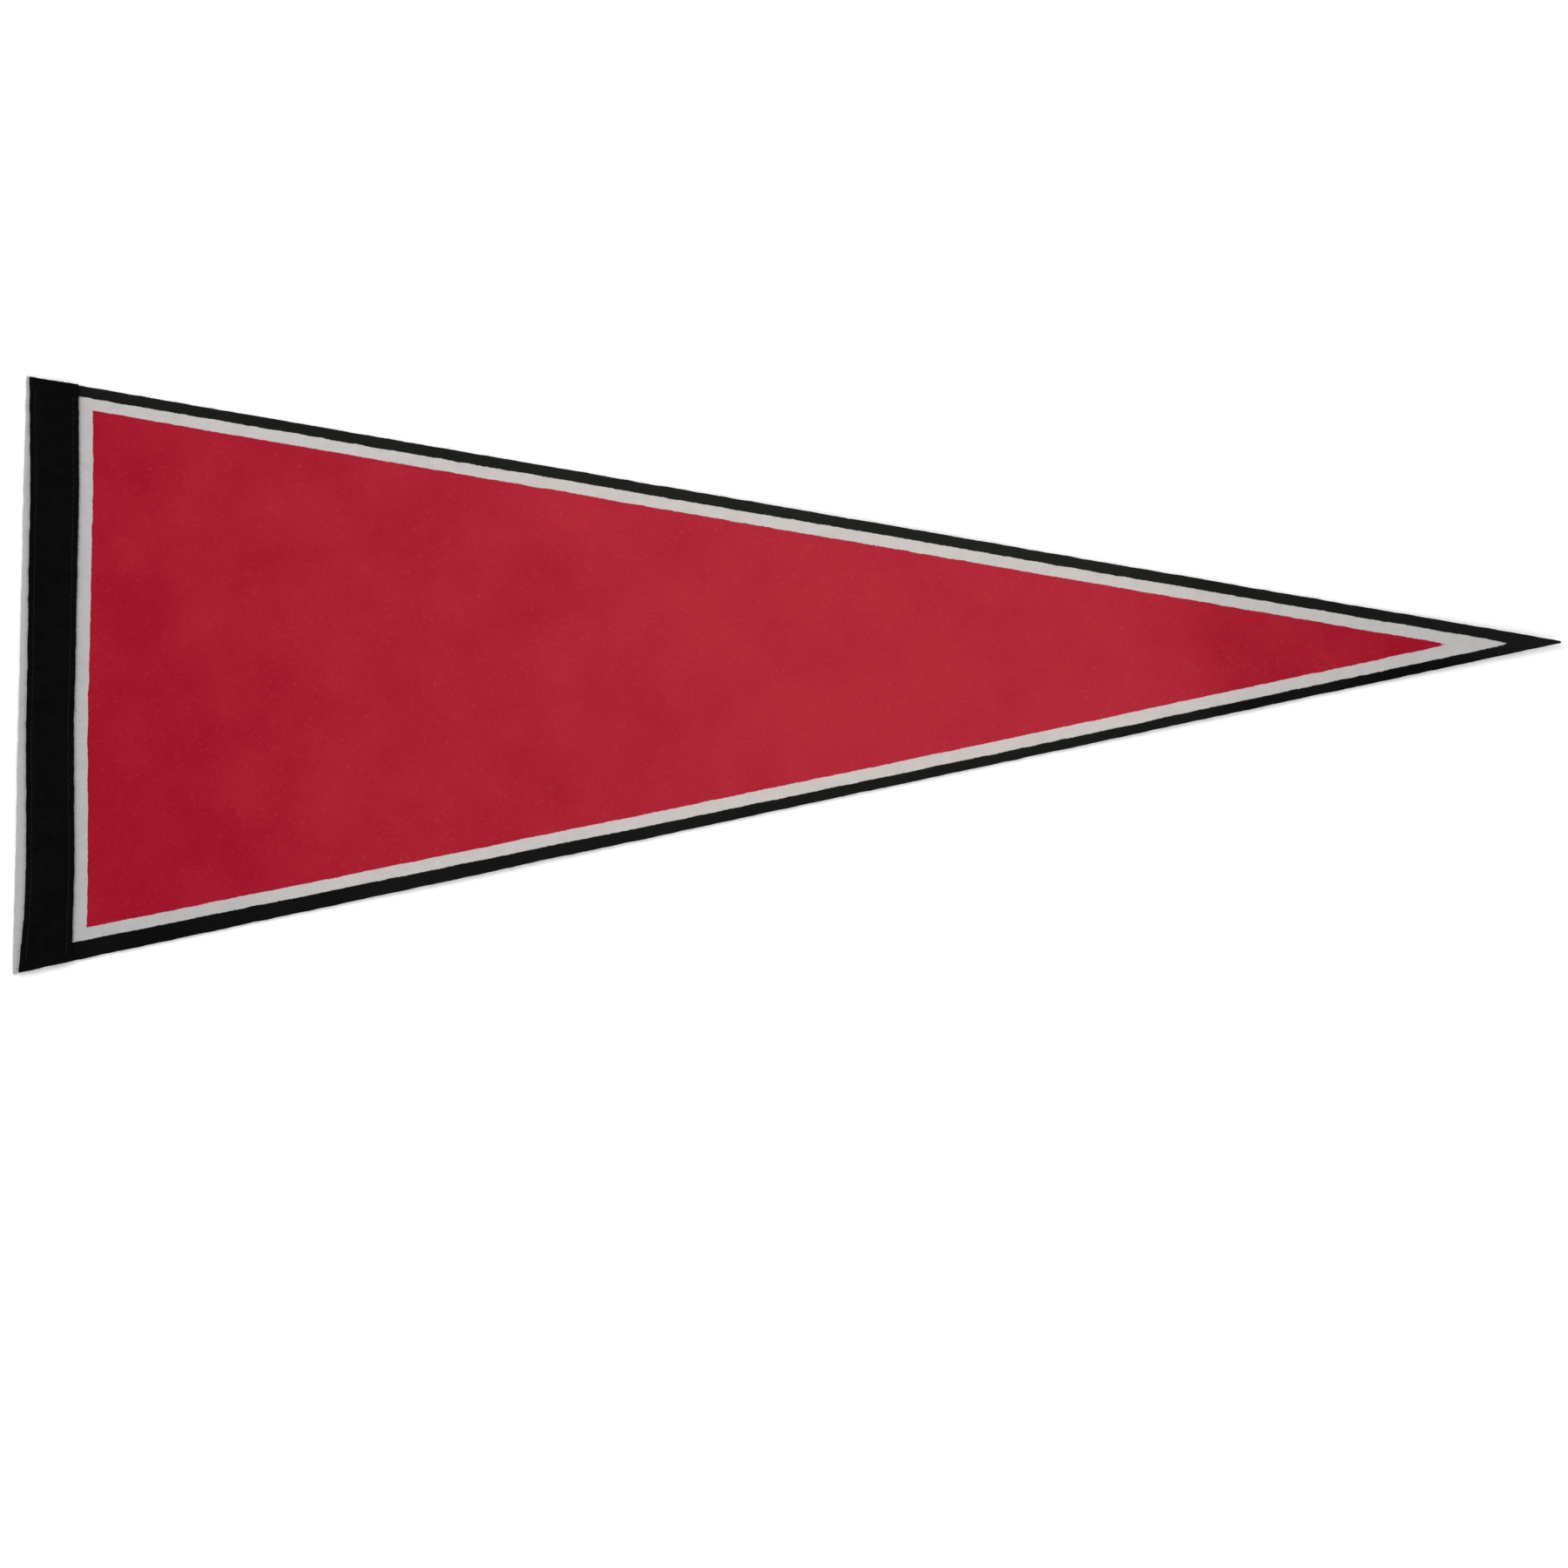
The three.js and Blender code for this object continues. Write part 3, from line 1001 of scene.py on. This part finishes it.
def needle_holes(name, surface):
    """Both seams as lines of needle holes on a surface of the felt, a stitch clear of the strip's ends."""
    points, edges = [], []
    count = int(hoist_length / STITCH)
    for outer in (True, False):
        first = len(points)
        for k in range(count + 1):
            down = k * STITCH
            inset = strip_edge(down, "margin") + SEAM_INSET
            if not outer:
                inset += strip_edge(down, "width") - 2 * SEAM_INSET
            if down < inset * head_slope + STITCH or down > hoist_length + inset * foot_slope - STITCH:
                continue
            spot = head + down_hoist * down + from_hoist * inset
            dx, dy = stray(spot.x, spot.y)
            points.append((spot.x + dx, spot.y + dy, surface(spot.x, spot.y)))
        edges += [(i, i + 1) for i in range(first, len(points) - 1)]
    mesh = bpy.data.meshes.new(name)
    mesh.from_pydata(points, edges, [])
    return bpy.data.objects.new(name, mesh)


# Trilobal polyester sewing thread, twisted: smoother than the felt, so each stitch carries a small soft
# glint. Its filaments are too fine to show, and are drawn as a fray ten times as coarse.
THREAD_BLACK = "#121213"
THREAD_BLACK_DARK = "#080809"
FRAY = 0.25 * MM
FRAY_DEPTH = 0.04 * MM
black_thread, tree = new_material("Black polyester thread, twisted")
place = add(tree, "ShaderNodeTexCoord").outputs["Object"]
fray = add(tree, "ShaderNodeTexNoise", {"Vector": place, "Scale": 1 / FRAY, "Detail": 2.0})
thread_colour = add(
    tree,
    "ShaderNodeMix",
    {0: fray.outputs["Fac"], 6: linear(THREAD_BLACK_DARK), 7: linear(THREAD_BLACK)},
    data_type="RGBA",
)
filaments = add(
    tree, "ShaderNodeBump", {"Strength": 0.5, "Distance": FRAY_DEPTH, "Height": fray.outputs["Fac"]}
)
surface = add(
    tree,
    "ShaderNodeBsdfPrincipled",
    {
        "Base Color": thread_colour.outputs[2],
        "Roughness": 0.5,
        "Specular IOR Level": 0.25,
        "Normal": filaments.outputs[0],
    },
)
add(tree, "ShaderNodeOutputMaterial", {"Surface": surface.outputs[0]})

top_thread = grown(
    "seam_thread_top", needle_holes("top_holes", strip_top), lockstitch_tree(), black_thread, {"Seed": 5}
)
back_thread = grown(
    "seam_thread_back",
    needle_holes("back_holes", panel_under),
    lockstitch_tree(),
    black_thread,
    {"Arch": BACK_ARCH, "Sink": -SINK, "Seed": 6},
)
for thread in (top_thread, back_thread):
    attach(thread, "root")

# The studio. A plain pale floor of painted board, one broad soft light from the upper left, a weaker one
# across from it, and an even white surround.
FLOOR_DROP = 0.3 * MM  # the floor lies this far under the flag's underside
FLOOR_HALF = 9.0  # from the middle to each edge, in metres
floor_mesh = bpy.data.meshes.new("floor")
floor_corners = [
    (x * FLOOR_HALF, y * FLOOR_HALF, -FLOOR_DROP) for x, y in ((-1, -1), (1, -1), (1, 1), (-1, 1))
]
floor_mesh.from_pydata(floor_corners, [], [(0, 1, 2, 3)])
floor = bpy.data.objects.new("floor", floor_mesh)
bpy.context.collection.objects.link(floor)

# White emulsion rolled onto board: even and matt, so it shows no glare and only a trace of mottling
FLOOR_WHITE = "#fefefe"
FLOOR_WHITE_DARK = "#fbfbfb"
MOTTLES_PER_METRE = 6.0  # soft patches about 170 mm wide
painted_board, tree = new_material("White painted board, matt")
place = add(tree, "ShaderNodeTexCoord").outputs["Object"]
mottle = add(tree, "ShaderNodeTexNoise", {"Vector": place, "Scale": MOTTLES_PER_METRE, "Detail": 3.0})
paint = add(
    tree,
    "ShaderNodeMix",
    {0: mottle.outputs["Fac"], 6: linear(FLOOR_WHITE_DARK), 7: linear(FLOOR_WHITE)},
    data_type="RGBA",
)
surface = add(
    tree,
    "ShaderNodeBsdfPrincipled",
    {"Base Color": paint.outputs[2], "Roughness": 0.9, "Specular IOR Level": 0.1},
)
add(tree, "ShaderNodeOutputMaterial", {"Surface": surface.outputs[0]})
floor_mesh.materials.append(painted_board)


def soft_light(name, place, size, power):
    """A square area light that faces the middle of the flag."""
    data = bpy.data.lights.new(name, "AREA")
    data.size = size
    data.energy = power
    light = bpy.data.objects.new(name, data)
    light.location = place
    light.rotation_mode = "QUATERNION"
    light.rotation_quaternion = (-Vector(place)).to_track_quat("-Z", "Y")
    bpy.context.collection.objects.link(light)


soft_light("key light", place=(-0.9, 1.1, 1.9), size=1.3, power=24.0)
soft_light("fill light", place=(0.9, -1.3, 1.8), size=1.6, power=7.0)
world = bpy.data.worlds.new("white surround")
world.use_nodes = True
world.node_tree.nodes["Background"].inputs["Color"].default_value = (1.0, 1.0, 1.0, 1.0)
world.node_tree.nodes["Background"].inputs["Strength"].default_value = 0.78
bpy.context.scene.world = world
bpy.context.scene.view_settings.view_transform = "Standard"

# The camera. It looks straight down on the printed front, from over the middle of the square frame, and
# stands far off behind a long lens, because the photograph shows the raised strip and tip unshifted.
FRAME_WIDTH = 792 * MM  # what the frame takes in, at the height of the felt
FRAME_MIDDLE = (-1.3 * MM, -55 * MM)
camera_data = bpy.data.cameras.new("camera")
camera_data.sensor_width = 36.0
camera_data.lens = 200.0
camera = bpy.data.objects.new("camera", camera_data)
camera_height = FRAME_WIDTH * camera_data.lens / camera_data.sensor_width
camera.location = (*FRAME_MIDDLE, PANEL_FELT + camera_height)
bpy.context.collection.objects.link(camera)
bpy.context.scene.camera = camera
